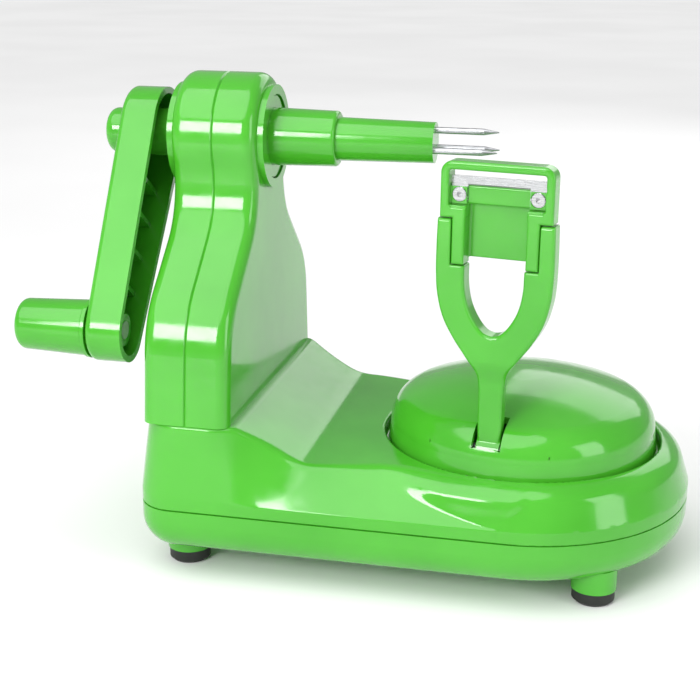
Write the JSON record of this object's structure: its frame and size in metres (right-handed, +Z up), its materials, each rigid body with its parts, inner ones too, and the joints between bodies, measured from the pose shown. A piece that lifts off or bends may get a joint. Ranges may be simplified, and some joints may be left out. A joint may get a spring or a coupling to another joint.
{
  "type": "apple peeler corer",
  "caption": "Hand-cranked plastic apple peeler: crank and gear tower, fruit fork, turntable and swinging blade arm on a low base.",
  "frame": {"origin": "middle of the footprint, on the table under the rubber feet", "axes": "+X from the crank handle towards the turntable, +Y away from the operator, +Z up"},
  "size_m": [0.2224, 0.1152, 0.1628],
  "materials": {
    "green_plastic": "glossy moulded plastic, bright lime green",
    "gear_plastic": "natural white moulded nylon",
    "black_rubber": "matt black rubber",
    "steel_fittings": "plain zinc-plated steel",
    "blade_steel": "bright stainless steel"
  },
  "bodies": {
    "base": {"base_cover": "green_plastic", "base_pan": "green_plastic", "rubber_feet": "black_rubber", "base_screws": "steel_fittings", "tower_shell_left": "green_plastic", "tower_shell_right": "green_plastic", "tower_screws": "steel_fittings", "tower_foot_screws": "steel_fittings", "shaft_bush_left": "green_plastic", "shaft_bush_right": "green_plastic", "upper_gear_pin": "steel_fittings", "lower_gear_pin": "steel_fittings", "lay_bearing_left": "gear_plastic", "lay_bearing_right": "gear_plastic"},
    "crank": {"crank_arm": "green_plastic", "hub_cap": "green_plastic", "crank_screw": "steel_fittings", "main_shaft": "steel_fittings", "shaft_sleeve": "green_plastic", "fork_shaft": "green_plastic", "fork_prongs": "steel_fittings", "drive_pinion": "gear_plastic", "handle_pin": "steel_fittings"},
    "handle": {"handle_grip": "green_plastic", "handle_cap": "green_plastic"},
    "compound": {"compound_gear": "gear_plastic"},
    "idler": {"idler_gear": "gear_plastic"},
    "lay": {"lay_shaft": "steel_fittings", "lay_gear": "gear_plastic", "crown_pinion": "gear_plastic"},
    "turntable": {"turntable_dome": "green_plastic", "crown_gear": "gear_plastic", "turntable_washer": "steel_fittings", "turntable_screw": "steel_fittings", "arm_pivot_pin": "steel_fittings", "arm_spring": "steel_fittings"},
    "arm": {"peeling_arm": "green_plastic", "blade_head": "green_plastic", "peeler_blade": "blade_steel", "blade_rivets": "blade_steel"}
  },
  "joints": [
    {"name": "crank_turn", "type": "hinge", "parent": "base", "child": "crank", "pos_m": [0, 0, 0.1415], "axis": [1, 0, 0], "range_deg": [-2566.67, 550]},
    {"name": "handle_spin", "type": "hinge", "parent": "crank", "child": "handle", "pos_m": [-0.098, -0.04187, 0.0817], "axis": [1, 0, 0], "continuous": true},
    {"name": "compound_turn", "type": "hinge", "parent": "base", "child": "compound", "pos_m": [-0.05635, 0, 0.116], "axis": [1, 0, 0], "range_deg": [-302, 1402]},
    {"name": "idler_turn", "type": "hinge", "parent": "base", "child": "idler", "pos_m": [-0.04935, 0, 0.0755], "axis": [1, 0, 0], "range_deg": [-402, 87.71]},
    {"name": "lay_turn", "type": "hinge", "parent": "base", "child": "lay", "pos_m": [-0.01635, 0, 0.029], "axis": [1, 0, 0], "range_deg": [-182, 842]},
    {"name": "turntable_turn", "type": "hinge", "parent": "base", "child": "turntable", "pos_m": [0.05365, 0, 0.04], "axis": [0, 0, 1], "range_deg": [-31, 141]},
    {"name": "arm_tilt", "type": "hinge", "parent": "turntable", "child": "arm", "pos_m": [0.04688, -0.03841, 0.0495], "axis": [0.9848, -0.1736, 0], "range_deg": [-3, 15]}
  ],
  "couplings": [
    {"joint": "compound_turn", "follows": "crank_turn", "ratio": -0.54545},
    {"joint": "idler_turn", "follows": "crank_turn", "ratio": 0.15584},
    {"joint": "lay_turn", "follows": "crank_turn", "ratio": -0.32727},
    {"joint": "turntable_turn", "follows": "crank_turn", "ratio": -0.054545}
  ]
}
